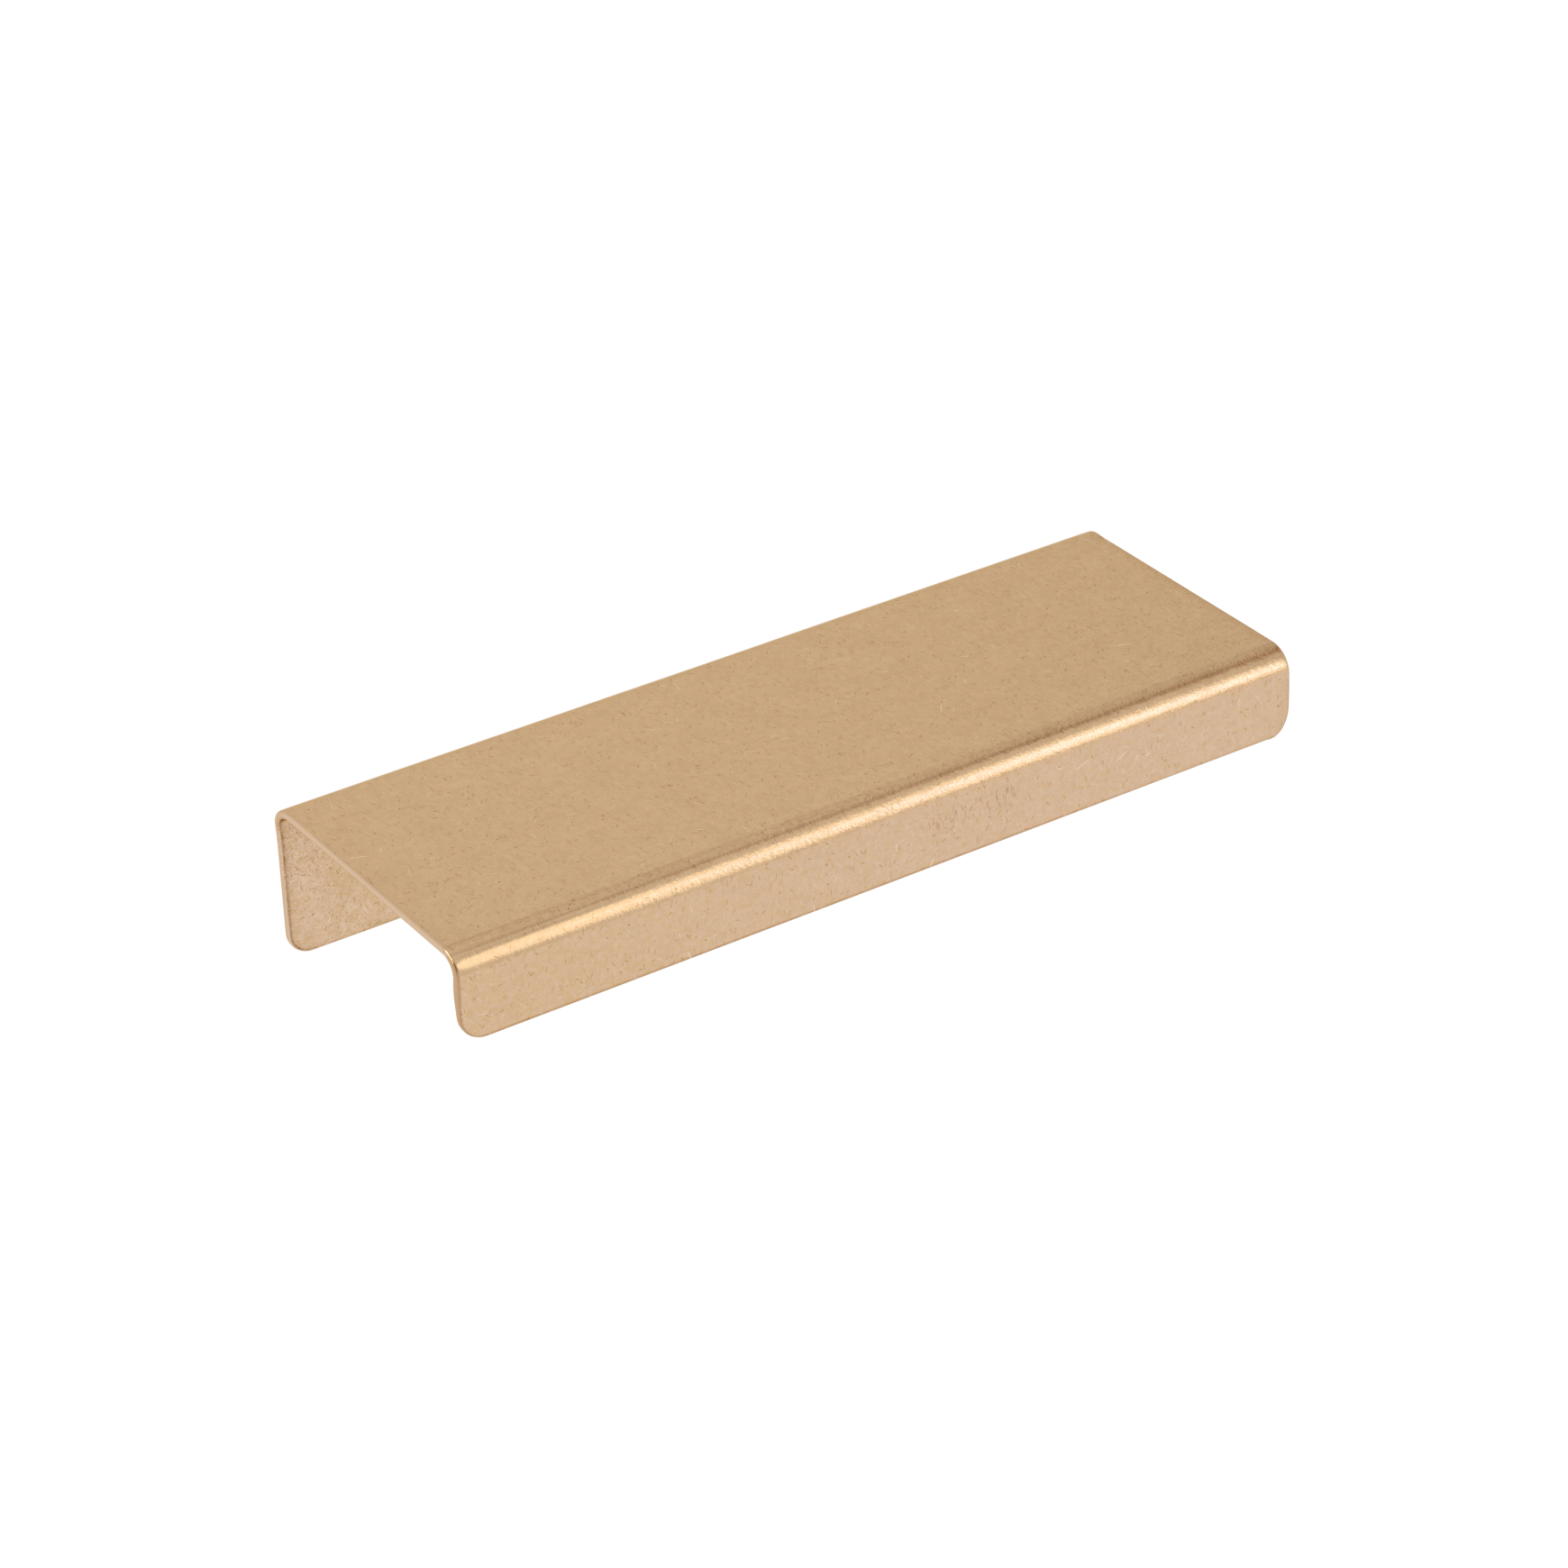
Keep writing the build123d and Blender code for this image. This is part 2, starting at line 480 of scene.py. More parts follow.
def patch_border(mesh, rows, columns, grid, centre):
    """Point numbers of the square round a hole, in order of angle."""
    border = []
    for r, (s, _, _) in enumerate(rows):
        for c in range(len(columns)):
            x = mesh.flat[grid[r][c]][0]
            across = abs(x - centre) - HOLE_PATCH / 2
            along = abs(s - FLANGE_FLAT / 2) - HOLE_PATCH / 2
            if -PATCH_TOLERANCE < max(across, along) < PATCH_TOLERANCE:
                border.append((math.atan2(s - FLANGE_FLAT / 2, x - centre), grid[r][c]))
    return [number for _, number in sorted(border)]


def add_hole(mesh, rows, columns, outer, inner, centre):
    """A countersunk hole in the flange, with the skins drawn in to its edges."""
    middle = FLANGE_FLAT / 2
    start = patch_border(mesh, rows, columns, outer, centre)
    end = patch_border(mesh, rows, columns, inner, centre)
    angles = [math.atan2(mesh.flat[i][1] - middle, mesh.flat[i][0] - centre) for i in start]
    sink = COUNTERSINK_RADIUS - SCREW_HOLE_RADIUS
    profile = [
        (COUNTERSINK_RADIUS + HOLE_BREAK, 0.0),
        (COUNTERSINK_RADIUS, HOLE_BREAK_MIDDLE),
        (COUNTERSINK_RADIUS - HOLE_BREAK, HOLE_BREAK),
        (SCREW_HOLE_RADIUS + HOLE_BREAK, sink - HOLE_BREAK),
        (SCREW_HOLE_RADIUS, sink),
        (SCREW_HOLE_RADIUS, SHEET - HOLE_BREAK),
        (SCREW_HOLE_RADIUS + HOLE_BREAK_MIDDLE, SHEET - HOLE_BREAK_MIDDLE),
        (SCREW_HOLE_RADIUS + HOLE_BREAK, SHEET),
    ]

    def circle(radius):
        return [(centre + radius * math.cos(a), middle + radius * math.sin(a)) for a in angles]

    def ring(radius, depth):
        return [mesh.point(x, s, depth) for x, s in circle(radius)]

    def drawn_in(border, radius, depth):
        rings = []
        for i in range(1, HOLE_RINGS):
            share = i / HOLE_RINGS
            points = []
            for number, (to_x, to_s) in zip(border, circle(radius)):
                x, s, _ = mesh.flat[number]
                points.append(mesh.point(x + (to_x - x) * share, s + (to_s - s) * share, depth))
            rings.append(points)
        return rings

    chain = [start] + drawn_in(start, *profile[0]) + [ring(*p) for p in profile]
    chain += drawn_in(end, *profile[-1])[::-1] + [end]
    for a, b in zip(chain, chain[1:]):
        mesh.ring_faces(b, a)


def edge_distance(x, s):
    """How far a point of the unfolded sheet lies inside its outline."""
    corner = FLANGE_CORNER if s < SECTION / 2 else LIP_CORNER
    along = min(s, SECTION - s)
    across = LENGTH / 2 - abs(x)
    if along < corner and across < corner:
        return corner - math.hypot(corner - along, corner - across)
    return min(along, across)


def hump(s, place, reach):
    """1 at a place along the section, falling off to either side."""
    return math.exp(-(((s - place) / reach) ** 2))


def near_bend(s):
    """1 at the middle of a bend, falling off to either side."""
    middles = (BACK_BEND_START + BEND_RUN / 2, FRONT_BEND_START + BEND_RUN / 2)
    return max(hump(s, m, SPREAD_REACH) for m in middles)


def corner_fullness(x, s):
    """Shift along the pull and the section that fills the lip's right corner, most near its low edge."""
    across = x - (LENGTH / 2 - LIP_CORNER)
    along = s - (SECTION - LIP_CORNER)
    if across <= 0 or along <= 0:
        return 0.0, 0.0
    turn = math.atan2(along, across)
    swell = math.sin(turn) ** 3 * math.cos(turn) / CORNER_SWELL_PEAK
    shift = CORNER_FULLNESS * swell * (math.hypot(across, along) / LIP_CORNER) ** 4
    return shift * math.cos(turn), shift * math.sin(turn)


def worked(x, s, depth):
    """A point of the unfolded sheet with the small unevenness of a folded and tumbled one."""
    outside = 1 - 2 * depth / SHEET
    distance = max(0.0, edge_distance(x, s))
    drop = SHOULDER_DEPTH * (1 + BEND_SHOULDER * near_bend(s))
    shoulder = drop * math.exp(-distance / SHOULDER_WIDTH) * outside
    wave = WAVINESS * noise.noise(Vector((x, s, 0)) / WAVE_LENGTH)
    ease = math.exp(-((LENGTH / 2 - abs(x)) / SPREAD_REACH))
    shift = BACK_SPREAD * hump(s, BACK_BEND_START + BEND_RUN / 2, SPREAD_REACH)
    shift += OUTER_FLARE * hump(s, LIP_START + OUTER_FLARE_PLACE, SPREAD_REACH) * (1 + outside) / 2
    shift += INNER_FLARE * hump(s, LIP_START + INNER_FLARE_PLACE, SPREAD_REACH) * (1 - outside) / 2
    full_x, full_s = corner_fullness(x, s)
    return x + math.copysign(1.0, x) * shift * ease + full_x, s + full_s, depth + shoulder + wave


def make_pull():
    """The folded sheet as one closed mesh that keeps its unfolded places and edge distances."""
    mesh = SheetMesh()
    rows = sheet_rows()
    columns = sheet_columns()
    outer = add_skin(mesh, rows, columns, 0.0, -1)
    inner = add_skin(mesh, rows, columns, SHEET, 1)
    add_rim(mesh, rows, columns, outer, inner)
    for side in (-1, 1):
        add_hole(mesh, rows, columns, outer, inner, side * SCREW_SPACING / 2)
    used = sorted({i for face in mesh.faces for i in face})
    renumber = {old: new for new, old in enumerate(used)}
    flat = [mesh.flat[i] for i in used]
    points = [fold(*worked(*p)) for p in flat]
    data = bpy.data.meshes.new("folded_pull")
    data.from_pydata(points, [], [[renumber[i] for i in face] for face in mesh.faces])
    place = data.attributes.new("flat", "FLOAT_VECTOR", "POINT")
    place.data.foreach_set("vector", (np.array(flat, np.float32) / MM).ravel())
    edge = data.attributes.new("edge", "FLOAT", "POINT")
    distances = [edge_distance(x, s) for x, s, _ in flat]
    edge.data.foreach_set("value", np.array(distances, np.float32) / MM)
    data.shade_smooth()
    pull = bpy.data.objects.new("folded_pull", data)
    bpy.context.scene.collection.objects.link(pull)
    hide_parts("pull")
    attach(pull, "root")
    return pull


def node(tree, kind, inputs=(), **settings):
    """A new shader node, with each input set to a value or linked to another node's output."""
    made = tree.nodes.new("ShaderNode" + kind)
    for name, value in settings.items():
        setattr(made, name, value)
    for key, value in dict(inputs).items():
        if isinstance(value, bpy.types.NodeSocket):
            tree.links.new(value, made.inputs[key])
        else:
            made.inputs[key].default_value = value
    return made


def calc(tree, operation, *values):
    """Result of a math node."""
    return node(tree, "Math", enumerate(values), operation=operation).outputs[0]


def vector_calc(tree, operation, a, b):
    """Result of a vector math node."""
    return node(tree, "VectorMath", {0: a, 1: b}, operation=operation).outputs["Vector"]


def total(tree, *values):
    """Sum of several values."""
    result = values[0]
    for value in values[1:]:
        result = calc(tree, "ADD", result, value)
    return result


def product(tree, *values):
    """Product of several values."""
    result = values[0]
    for value in values[1:]:
        result = calc(tree, "MULTIPLY", result, value)
    return result


def ramp(tree, value, start, end, lowest=0.0, highest=1.0):
    """Smooth step of a value, from lowest at start to highest at end."""
    span = {"Value": value, "From Min": start, "From Max": end, "To Min": lowest, "To Max": highest}
    return node(tree, "MapRange", span, interpolation_type="SMOOTHSTEP").outputs["Result"]


def between(tree, share, off, on):
    """One value where share is 0 and another where it is 1."""
    return ramp(tree, share, 0.0, 1.0, off, on)


def opposite(tree, share):
    """1 where share is 0, and 0 where it is 1."""
    return ramp(tree, share, 1.0, 0.0)


def band(tree, value, start, end, soft):
    """1 between start and end, with soft ends."""
    rise = ramp(tree, value, start - soft, start + soft)
    fall = ramp(tree, value, end + soft, end - soft)
    return product(tree, rise, fall)


def centred(tree, value, strength):
    """A value about 0.5 as a change about 0."""
    return calc(tree, "MULTIPLY", calc(tree, "SUBTRACT", value, 0.5), strength)


def mix(tree, share, a, b, kind="MIX"):
    """Colour a with b mixed in where share is 1."""
    return node(tree, "Mix", {0: share, 6: a, 7: b}, data_type="RGBA", blend_type=kind).outputs[2]


def marked(tree, color, share, strength, mark, kind="MULTIPLY"):
    """A colour with a mark laid on it where share is 1."""
    return mix(tree, product(tree, share, strength), color, mark, kind)


def grain(tree, place, scale, detail=3.0, roughness=0.55, distortion=0.0, stretch=None, levels=None):
    """Noise on the sheet, with its axes scaled apart by stretch and its values cut to levels."""
    if stretch:
        place = vector_calc(tree, "MULTIPLY", place, stretch)
    look = {
        "Vector": place,
        "Scale": scale,
        "Detail": detail,
        "Roughness": roughness,
        "Distortion": distortion,
    }
    value = node(tree, "TexNoise", look).outputs["Fac"]
    return ramp(tree, value, *levels) if levels else value


def mottle(tree, grains, weights):
    """Change about 0 from several grains, each by its weight."""
    return total(tree, *[centred(tree, grains[name], weight) for name, weight in weights.items()])


def random_cells(tree, place, cell, seed):
    """A random pattern of cells: the moved place, the pattern's node and random numbers for a cell."""
    moved = vector_calc(tree, "ADD", place, (seed, seed * SEED_SKEW, 0.0))
    cells = node(tree, "TexVoronoi", {"Vector": moved, "Scale": 1 / cell}, voronoi_dimensions="2D")
    chance = node(tree, "SeparateColor", {"Color": cells.outputs["Color"]})
    return moved, cells, chance.outputs


def scratches(tree, place, cell, length, width, share, seed):
    """Short curved hairlines, one in some of the cells of a random pattern."""
    moved, cells, chance = random_cells(tree, place, cell, seed)
    local = vector_calc(tree, "SUBTRACT", moved, cells.outputs["Position"])
    turn = {"Vector": local, "Angle": calc(tree, "MULTIPLY", chance["Red"], math.pi)}
    turned = node(tree, "VectorRotate", turn, rotation_type="Z_AXIS").outputs["Vector"]
    parts = node(tree, "SeparateXYZ", {"Vector": turned})
    along = parts.outputs["X"]
    curl = centred(tree, chance["Blue"], SCRATCH_CURL / cell)
    bow = product(tree, along, along, curl)
    across = calc(tree, "ABSOLUTE", calc(tree, "SUBTRACT", parts.outputs["Y"], bow))
    line = ramp(tree, across, width, width * MARK_CORE)
    ends = ramp(tree, calc(tree, "ABSOLUTE", along), length / 2, length / 4)
    kept = calc(tree, "LESS_THAN", chance["Green"], share)
    return product(tree, line, ends, kept)


def dots(tree, place, cell, radius, share, seed):
    """Small round marks, one in some of the cells of a random pattern."""
    _, cells, chance = random_cells(tree, place, cell, seed)
    spot = ramp(tree, cells.outputs["Distance"], radius / cell, radius / cell * MARK_CORE)
    return product(tree, spot, calc(tree, "LESS_THAN", chance["Red"], share))


def sheet_places(tree):
    """Where a point of the sheet lies, in mm, and how far it belongs to each face: 1 on it and 0 off it."""
    place = node(tree, "Attribute", attribute_name="flat").outputs["Vector"]
    edge = node(tree, "Attribute", attribute_name="edge").outputs["Fac"]
    parts = node(tree, "SeparateXYZ", {"Vector": place})
    along = parts.outputs["X"]
    section = parts.outputs["Y"]
    at = SimpleNamespace(place=place, edge=edge, along=along, section=section, depth=parts.outputs["Z"])
    at.from_left = calc(tree, "ADD", along, LENGTH / 2 / MM)
    at.to_right = calc(tree, "SUBTRACT", LENGTH / 2 / MM, along)
    at.past_back = calc(tree, "SUBTRACT", section, BACK_BEND_START / MM)
    at.past_plate = calc(tree, "SUBTRACT", section, PLATE_START / MM)
    at.past_fold = calc(tree, "SUBTRACT", section, FRONT_BEND_START / MM)
    at.past_lip = calc(tree, "SUBTRACT", section, LIP_START / MM)
    at.to_low_edge = calc(tree, "SUBTRACT", SECTION / MM, section)
    at.lip = ramp(tree, at.past_lip, -FACE_BLEND, 0.0)
    at.back = ramp(tree, at.past_plate, -FACE_BLEND, -BEND_RUN / MM)
    at.inside = ramp(tree, at.depth, *INSIDE_DEPTH)
    at.outside = opposite(tree, at.inside)
    at.upright = calc(tree, "MAXIMUM", calc(tree, "MAXIMUM", at.lip, at.back), at.inside)
    at.left = ramp(tree, at.from_left, *LEFT_END)
    at.right = ramp(tree, at.to_right, *RIGHT_END)
    at.face = ramp(tree, at.edge, *FACE_EDGE)
    at.off_fold = opposite(tree, band(tree, at.past_fold, *FOLD_SPAN))
    at.lip_side = ramp(tree, at.past_fold, *LIP_SIDE)
    return at


def bored(tree, at):
    """1 in the screw holes and their countersinks."""
    across = calc(tree, "SUBTRACT", calc(tree, "ABSOLUTE", at.along), SCREW_SPACING / 2 / MM)
    up = calc(tree, "SUBTRACT", at.section, FLANGE_FLAT / 2 / MM)
    square = total(tree, product(tree, across, across), product(tree, up, up))
    cone = calc(tree, "SUBTRACT", COUNTERSINK_RADIUS / MM, at.depth)
    reach = total(tree, calc(tree, "MAXIMUM", cone, SCREW_HOLE_RADIUS / MM), HOLE_MARGIN)
    return calc(tree, "LESS_THAN", square, product(tree, reach, reach))


def surface_marks(tree, at, grains):
    """Masks of the scratches, flecks, pits and creases, and of pale flakes and dots that are partly painted
    glints.
    """
    rolled = vector_calc(tree, "MULTIPLY", at.place, ROLLED)
    hair = scratches(tree, at.place, **SCRATCHES["hair"])
    short = scratches(tree, at.place, **SCRATCHES["short"])
    curls = scratches(tree, at.place, **SCRATCHES["curls"])
    flecks = scratches(tree, rolled, **SCRATCHES["flecks"])
    highlight = band(tree, at.past_fold, *HIGHLIGHT_SPAN)
    highlight = product(tree, highlight, ramp(tree, at.along, *HIGHLIGHT_CLEAN))
    flecked = product(tree, grains["cluster"], opposite(tree, highlight), at.face)
    creases = band(tree, grains["creases"], *CREASE_LEVELS)
    creases = product(tree, creases, ramp(tree, grains["speckle"], *CREASE_BREAKS))
    creases = product(tree, creases, ramp(tree, at.section, *CREASE_RISE), at.inside)
    flakes_and_glints = product(tree, grains["flakes_and_glints"], at.inside)
    flakes_and_glints = product(tree, flakes_and_glints, ramp(tree, at.section, *FLAKE_FALL))
    flakes_and_glints = product(tree, flakes_and_glints, ramp(tree, at.from_left, *FLAKE_START))
    return {
        "lines": product(tree, calc(tree, "MAXIMUM", hair, short), at.off_fold, grains["worn"], at.face),
        "curls": product(tree, curls, ramp(tree, at.past_lip, *CURL_RISE)),
        "flecks": product(tree, flecks, flecked),
        "specks": product(tree, grains["specks"], flecked),
        "pits": product(tree, dots(tree, at.place, **DOTS["pits"]), at.face),
        "pocks": product(tree, dots(tree, at.place, **DOTS["pocks"]), at.inside, at.face),
        "glints": product(tree, dots(tree, at.place, **DOTS["glints"]), at.face),
        "creases": creases,
        "flakes_and_glints": flakes_and_glints,
    }


def fold_marks(tree, at, grains):
    """Masks of the painted shade along the front bend, in the dark band above its highlight and on the
    highlight itself, and of the real tears under it.
    """
    # Painted shade: dark grains in the reflected dark band above the highlight
    dark_band_shade = product(tree, grains["dark_band_shade"], band(tree, at.past_fold, *DARK_BAND_SHADE_SPAN), at.outside)
    # Painted shade that dims the middle of the highlight
    dimmed_highlight = product(tree, band(tree, at.past_fold, *DIMMED_HIGHLIGHT_SPAN), at.outside)
    tears = product(tree, grains["tears"], band(tree, at.past_lip, *TEAR_SPAN))
    return {
        "dark_band_shade": product(tree, dark_band_shade, ramp(tree, at.along, *DARK_BAND_SHADE_FADE)),
        "dimmed_highlight": product(tree, dimmed_highlight, band(tree, at.along, *DIMMED_HIGHLIGHT_STRETCH)),
        "tears": product(tree, tears, band(tree, at.along, *TEAR_STRETCH)),
    }


def rim_marks(tree, at, grains):
    """Masks of painted shade: dark lines that stand for dark reflections in the rim's roundings, darker
    ends, the back bend's outside, and shade in the inside corner of the back bend.
    """
    # Painted dark reflections along the rim's roundings, ragged or speckled
    ragged = ramp(tree, grains["medium"], *INSIDE_LINE_BREAKS)
    inside_share = between(tree, at.left, *INSIDE_LINE_SHARE)
    speckled = product(tree, ramp(tree, at.edge, *SPECKLED_LINE), at.inside, at.left, at.face)
    lip_share = calc(tree, "MAXIMUM", at.left, ramp(tree, at.along, *LIP_LINE_FADE))
    # Painted shade in the hollow of the back bend's inside corner and at the left end
    corner = product(tree, ramp(tree, at.past_back, *CORNER_RISE), ramp(tree, at.edge, *CORNER_REACH))
    corner = calc(tree, "MAXIMUM", corner, ramp(tree, at.from_left, *CORNER_END))
    corner = product(tree, corner, at.inside, at.face)
    back_bend = band(tree, at.past_back, 0.0, BEND_RUN / MM, BEND_SOFT)
    back_and_plate = band(tree, at.past_back, 0.0, (BEND_RUN + PLATE_FLAT) / MM, BEND_SOFT)
    # Painted dark reflection in the down-facing inner rounding along the back bend and plate
    under = product(tree, ramp(tree, at.depth, *UNDER_DEPTH), ramp(tree, at.edge, *UNDER_EDGE), at.left)
    # Painted shade at the right end: a darker band along its edge and a dark line in its rounding
    right = product(tree, at.right, at.outside, at.off_fold)
    right_edge_shade = product(tree, right, ramp(tree, at.edge, *RIGHT_EDGE))
    return {
        "inside_rim_shade": product(tree, band(tree, at.edge, *INSIDE_LINE), at.inside, ragged, inside_share),
        "speckled_rim_shade": product(tree, speckled, ramp(tree, grains["speckle"], *SPECKLED_LINE_BREAKS)),
        "lip_rim_shade": product(tree, band(tree, at.edge, *LIP_LINE), at.lip_side, lip_share),
        "low_edge_shade": product(tree, ramp(tree, at.to_low_edge, *LOW_EDGE), lip_share),
        "corner": product(tree, corner, between(tree, grains["crumple"], *CORNER_BREAKS)),
        "under_rim_shade": product(tree, under, back_and_plate, between(tree, back_bend, *UNDER_SHARE)),
        "right_edge_shade": product(tree, right_edge_shade, between(tree, at.lip, *RIGHT_EDGE_SHARE)),
        "right_rim_shade": product(tree, right, band(tree, at.edge, *RIGHT_LINE)),
        # Painted shade over the outside of the back bend
        "back_bend_shade": product(tree, ramp(tree, at.past_plate, *BACK_EDGE), at.outside),
    }


def base_color(tree, at, grains):
    """Colour of the brass under its marks: mottled, the inside most of all, plainer on the cut edge, and
    with painted shade that darkens the plate towards the right and the front.
    """
    tone = product(tree, mottle(tree, grains, TONE_GRAINS), between(tree, at.upright, *TONE_LIVELINESS))
    slant = total(tree, *[ramp(tree, at.along, *s) for s in LIP_SLANTS])
    tone = total(tree, tone, product(tree, slant, at.lip), TONE_MIDDLE)
    inner_tone = total(tree, mottle(tree, grains, INSIDE_GRAINS), ramp(tree, at.section, *INSIDE_HEIGHT))
    inner_tone = total(tree, inner_tone, ramp(tree, at.from_left, *INSIDE_SLANT))
    color = mix(tree, tone, BRASS_DEEP, BRASS_PALE)
    color = mix(tree, at.inside, color, mix(tree, inner_tone, INSIDE_DEEP, INSIDE_PALE))
    shade = product(tree, mottle(tree, grains, SHADE_GRAINS), between(tree, at.upright, *SHADE_CALM))
    # Painted shade: the plate darker towards the right and towards the front, added to the grain mottle
    falling = total(tree, ramp(tree, at.along, *PLATE_SLANT), ramp(tree, at.section, *PLATE_FALL))
    shade = total(tree, shade, product(tree, falling, opposite(tree, at.upright)))
    shaded = node(tree, "VectorMath", {0: SHADE_TINT, "Scale": shade}, operation="SCALE")
    shaded = vector_calc(tree, "ADD", shaded.outputs["Vector"], (1.0, 1.0, 1.0))
    color = vector_calc(tree, "MULTIPLY", color, shaded)
    cut = ramp(tree, at.edge, *CUT_EDGE)
    return marked(tree, color, cut, CUT_SHARE, mix(tree, at.lip_side, RIM_COLOR, LIP_RIM_COLOR), "MIX")


def painted_bend_reflections(tree, at, grains, color):
    """A colour with the painted reflections along the front bend laid on it: dark streaks of painted shade
    and pale streaks of painted highlight.
    """
    for middle, half, start, full, strength, tint in BEND_REFLECTIONS:
        line = band(tree, at.past_fold, middle - half, middle + half, half)
        line = product(tree, line, ramp(tree, at.along, start, full), grains["broken"], at.outside)
        color = marked(tree, color, line, strength, tint)
    return color


def make_brass():
    """Raw brass after tumbling: mottled, flecked and finely scratched, with painted reflections along the
    front bend and the rim, painted shade in the inside corner, and painted glints.
    """
    material = bpy.data.materials.new("raw_brass")
    material.use_nodes = True
    tree = material.node_tree
    shader = tree.nodes["Principled BSDF"]
    at = sheet_places(tree)
    grains = {name: grain(tree, at.place, **look) for name, look in GRAINS.items()}
    masks = surface_marks(tree, at, grains) | fold_marks(tree, at, grains) | rim_marks(tree, at, grains)
    lines = masks["lines"]

    # Colour
    color = base_color(tree, at, grains)
    fleck_tint = mix(tree, at.upright, FLECK_AND_SHADE_TINT, UPRIGHT_FLECK_TINT)
    color = marked(tree, color, masks["specks"], SPECK_STRENGTH, fleck_tint)
    color = marked(tree, color, masks["flecks"], between(tree, at.upright, *FLECK_STRENGTH), fleck_tint)
    # Painted reflections along the front bend, then the marks and the painted shade
    color = painted_bend_reflections(tree, at, grains, color)
    for name, strength, tint, kind in MARKS:
        color = marked(tree, color, masks[name], strength, tint, kind)
    tree.links.new(color, shader.inputs["Base Color"])

    # Gloss and relief
    gloss = total(tree, centred(tree, grains["medium"], ROUGHNESS_GRAIN), BRASS_ROUGHNESS)
    gloss = total(tree, gloss, product(tree, lines, ROUGHNESS_SCRATCH))
    gloss = total(tree, gloss, product(tree, bored(tree, at), ROUGHNESS_HOLE))
    tree.links.new(gloss, shader.inputs["Roughness"])
    height = total(tree, grains["fine"], product(tree, grains["dimples"], DIMPLE_SHARE))
    height = total(tree, height, product(tree, grains["medium"], MEDIUM_SHARE))
    height = total(tree, height, product(tree, lines, SCRATCH_SHARE))
    strength = ramp(tree, at.from_left, *RELIEF_RISE)
    bump = node(tree, "Bump", {"Height": height, "Strength": strength, "Distance": GRAIN_RELIEF})
    tree.links.new(bump.outputs["Normal"], shader.inputs["Normal"])
    shader.inputs["Metallic"].default_value = 1.0
    shader.inputs["Specular Tint"].default_value = BRASS_GRAZING
    return material


def direction(azimuth, elevation):
    """Unit vector from the object: azimuth 0 points to the front, positive to the right."""
    a = math.radians(azimuth)
    e = math.radians(elevation)
    return Vector((math.sin(a) * math.cos(e), -math.cos(a) * math.cos(e), math.sin(e)))


def facing_turn(way, roll):
    """Turn of a camera or light that stands off in a direction and looks back, with a roll."""
    rolled = Matrix.Rotation(math.radians(roll), 3, "Z").to_quaternion()
    return way.to_track_quat("Z", "Y") @ rolled


def make_camera():
    """The photograph's camera."""
    data = bpy.data.cameras.new("camera")
    data.lens = CAMERA_LENS
    data.sensor_width = SENSOR_WIDTH
    camera = bpy.data.objects.new("camera", data)
    bpy.context.scene.collection.objects.link(camera)
    back = direction(CAMERA_AZIMUTH, CAMERA_ELEVATION)
    camera.rotation_mode = "QUATERNION"
    camera.rotation_quaternion = facing_turn(back, CAMERA_ROLL)
    camera.location = CAMERA_TARGET + back * CAMERA_DISTANCE
    bpy.context.scene.camera = camera


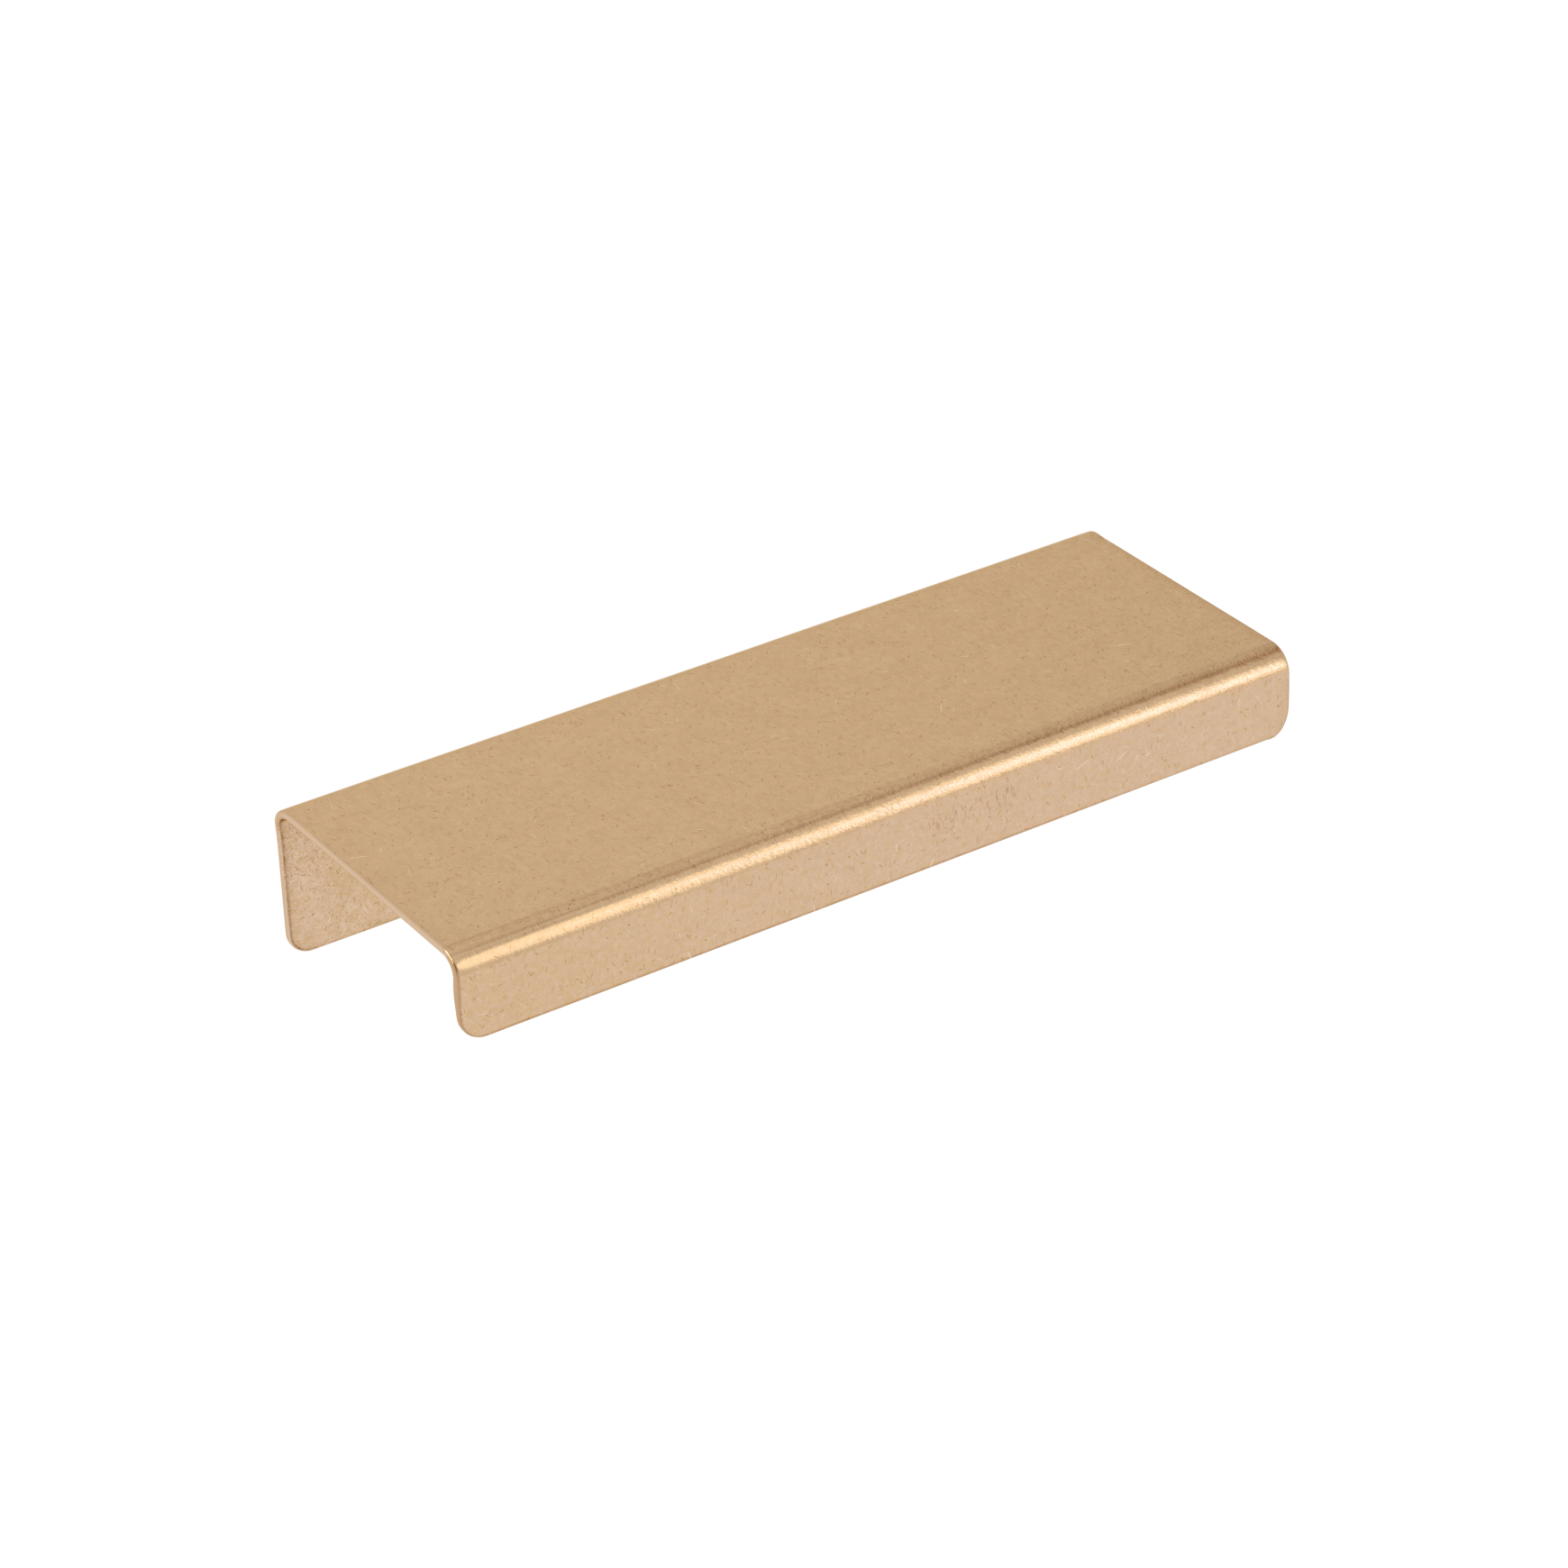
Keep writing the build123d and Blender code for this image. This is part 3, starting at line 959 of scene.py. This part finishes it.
def make_floor():
    """A plain pale floor that glows by itself, so the pull throws no shadow on it."""
    mesh = bpy.data.meshes.new("floor")
    h = FLOOR_SIZE / 2
    corners = [(x, y, FLOOR_HEIGHT) for x, y in ((-h, -h), (h, -h), (h, h), (-h, h))]
    mesh.from_pydata(corners, [], [(0, 1, 2, 3)])
    floor = bpy.data.objects.new("floor", mesh)
    bpy.context.scene.collection.objects.link(floor)
    material = bpy.data.materials.new("floor")
    material.use_nodes = True
    tree = material.node_tree
    shader = tree.nodes["Principled BSDF"]
    place = node(tree, "TexCoord").outputs["Object"]
    distance = node(tree, "VectorMath", {0: place}, operation="LENGTH").outputs["Value"]
    glow = mix(tree, ramp(tree, distance, FLOOR_NEAR_REACH, FLOOR_FAR_REACH), FLOOR_NEAR, FLOOR_FAR)
    tree.links.new(glow, shader.inputs["Emission Color"])
    shader.inputs["Emission Strength"].default_value = 1.0
    shader.inputs["Base Color"].default_value = BLACK
    shader.inputs["Specular IOR Level"].default_value = 0.0
    mesh.materials.append(material)


def make_softbox(name, radiance, azimuth, elevation, width, height, roll):
    """A lit panel that faces the pull, turned by roll about its own axis."""
    data = bpy.data.lights.new(name, "AREA")
    data.shape = "RECTANGLE"
    data.size = width
    data.size_y = height
    data.energy = max(radiance) * math.pi * width * height
    data.color = [c / max(radiance) for c in radiance]
    light = bpy.data.objects.new(name, data)
    bpy.context.scene.collection.objects.link(light)
    way = direction(azimuth, elevation)
    light.location = CAMERA_TARGET + way * LIGHT_DISTANCE
    light.rotation_mode = "QUATERNION"
    light.rotation_quaternion = facing_turn(way, roll)


def make_world():
    """A warm pale room with soft darker parts that the metal reflects, each laid over the ones before."""
    world = bpy.data.worlds.new("studio")
    world.use_nodes = True
    bpy.context.scene.world = world
    tree = world.node_tree
    view = node(tree, "TexCoord").outputs["Generated"]
    color = ROOM_COLOR
    for azimuth, elevation, inner, outer, part_color in ROOM_PARTS:
        aim = {0: view, 1: direction(azimuth, elevation)}
        nearness = node(tree, "VectorMath", aim, operation="DOT_PRODUCT").outputs["Value"]
        share = ramp(tree, nearness, math.cos(math.radians(outer)), math.cos(math.radians(inner)))
        color = mix(tree, share, color, part_color)
    tree.links.new(color, tree.nodes["Background"].inputs["Color"])


make_world()
make_camera()
make_floor()
make_softbox("key", KEY_RADIANCE, **KEY_LIGHT)
make_softbox("core", CORE_RADIANCE, **CORE_LIGHT)
make_softbox("side", SIDE_RADIANCE, **SIDE_LIGHT)
pull = make_pull()
pull.data.materials.append(make_brass())

bpy.context.scene.view_settings.view_transform = "Standard"
